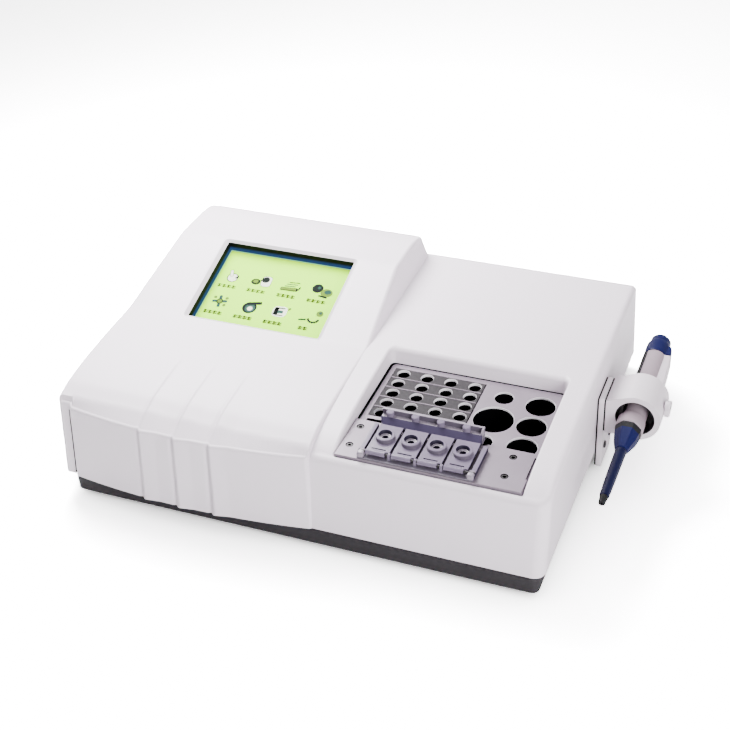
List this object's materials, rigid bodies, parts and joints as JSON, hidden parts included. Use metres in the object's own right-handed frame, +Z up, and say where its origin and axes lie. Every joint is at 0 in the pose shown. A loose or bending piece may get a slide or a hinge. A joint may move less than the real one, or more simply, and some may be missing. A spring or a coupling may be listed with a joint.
{
  "type": "coagulation analyzer",
  "caption": "Bench-top blood coagulation analyzer with a sloped touch screen, a heated sample block with clear hinged lids, and a hand pipette in a side holder.",
  "frame": {"origin": "middle of the whole object's footprint, at the bottom of its feet", "axes": "+X to the right along the front, the longest side; +Y to the back; +Z up"},
  "size_m": [0.4718, 0.3288, 0.1248],
  "materials": {
    "bezel_black": "dark surround",
    "block_aluminium": "bead-blasted aluminium",
    "board_green": "circuit board",
    "case_white": "satin white moulding",
    "clear_lilac": "clear plastic with a lilac cast",
    "fixture_black": "black moulding",
    "guide_grey": "light grey moulding",
    "handle_grey": "light grey moulding",
    "holder_white": "white moulding",
    "insert_grey": "dark anodised aluminium",
    "panel_white": "light grey paint",
    "pipette_blue": "dark blue moulding",
    "rubber_black": "black rubber",
    "screen_glass": "touch glass over a green display",
    "screw_steel": "plated steel",
    "shaft_navy": "navy moulding",
    "sheet_steel": "plated steel",
    "tray_grey": "dark grey moulding"
  },
  "bodies": {
    "case": {"base_tray": "tray_grey", "buzzer": "fixture_black", "channel_plate": "block_aluminium", "cuvette_insert": "insert_grey", "data_port_1": "sheet_steel", "data_port_2": "sheet_steel", "detector_board": "board_green", "display_bezel": "bezel_black", "display_board": "board_green", "fan_housing": "fixture_black", "foot_1": "rubber_black", "foot_2": "rubber_black", "foot_3": "rubber_black", "foot_4": "rubber_black", "heater_plate": "fixture_black", "holder_plate": "holder_white", "holder_ring": "holder_white", "holder_screw_1": "screw_steel", "holder_screw_2": "screw_steel", "incubation_block": "block_aluminium", "lamp_board": "board_green", "lid_frame": "clear_lilac", "lid_pin": "screw_steel", "main_board": "board_green", "mains_inlet": "fixture_black", "panel_screw_1": "screw_steel", "panel_screw_2": "screw_steel", "panel_screw_3": "screw_steel", "panel_screw_4": "screw_steel", "plate_screw_1": "screw_steel", "plate_screw_2": "screw_steel", "plate_screw_3": "screw_steel", "plate_screw_4": "screw_steel", "power_supply": "sheet_steel", "rear_panel": "panel_white", "screen_panel": "sheet_steel", "stirrer_motor": "sheet_steel", "switch_frame": "fixture_black", "temperature_probe": "screw_steel", "tip_guide": "guide_grey", "top_cover": "case_white", "touch_panel": "screen_glass"},
    "lid_1": {"channel_lid_1": "clear_lilac"},
    "lid_2": {"channel_lid_2": "clear_lilac"},
    "lid_3": {"channel_lid_3": "clear_lilac"},
    "lid_4": {"channel_lid_4": "clear_lilac"},
    "pipette": {"pipette_body": "handle_grey", "pipette_head": "pipette_blue", "pipette_nose": "pipette_blue", "pipette_shaft": "shaft_navy", "pipette_tip": "fixture_black"},
    "plunger": {"plunger_button": "pipette_blue"},
    "knob": {"clamp_knob": "holder_white"},
    "rocker": {"power_rocker": "fixture_black"},
    "fan": {"fan_rotor": "fixture_black"},
    "magnet": {"stirrer_magnet": "screw_steel"}
  },
  "joints": [
    {"name": "lid_1_hinge", "type": "hinge", "parent": "case", "child": "lid_1", "pos_m": [0.04159, -0.13154, 0.0931], "axis": [1, 0, 0], "range_deg": [0, 105]},
    {"name": "lid_2_hinge", "type": "hinge", "parent": "case", "child": "lid_2", "pos_m": [0.06239, -0.13154, 0.0931], "axis": [1, 0, 0], "range_deg": [0, 105]},
    {"name": "lid_3_hinge", "type": "hinge", "parent": "case", "child": "lid_3", "pos_m": [0.08319, -0.13154, 0.0931], "axis": [1, 0, 0], "range_deg": [0, 105]},
    {"name": "lid_4_hinge", "type": "hinge", "parent": "case", "child": "lid_4", "pos_m": [0.10399, -0.13154, 0.0931], "axis": [1, 0, 0], "range_deg": [0, 105]},
    {"name": "pipette_lift", "type": "slide", "parent": "case", "child": "pipette", "axis": [0.0122, 0.9981, 0.061], "range_m": [0, 0.135]},
    {"name": "plunger_press", "type": "slide", "parent": "pipette", "child": "plunger", "axis": [-0.0122, -0.9981, -0.061], "range_m": [0, 0.006], "stiffness_N_per_m": 150, "springref_m": -0.003},
    {"name": "clamp_knob_turn", "type": "hinge", "parent": "case", "child": "knob", "pos_m": [0.23169, 0.02336, 0.068], "axis": [1, 0, 0], "range_deg": [0, 720]},
    {"name": "power_rocker_tilt", "type": "hinge", "parent": "case", "child": "rocker", "pos_m": [-0.08391, 0.15164, 0.05502], "axis": [1, 0, 0], "range_deg": [-13, 0]},
    {"name": "fan_spin", "type": "hinge", "parent": "case", "child": "fan", "pos_m": [0.07609, 0.15624, 0.0558], "axis": [0, 0.9859, 0.1676], "continuous": true},
    {"name": "magnet_spin", "type": "hinge", "parent": "case", "child": "magnet", "pos_m": [0.11109, -0.05654, 0.04255], "axis": [0, 0, 1], "continuous": true}
  ]
}
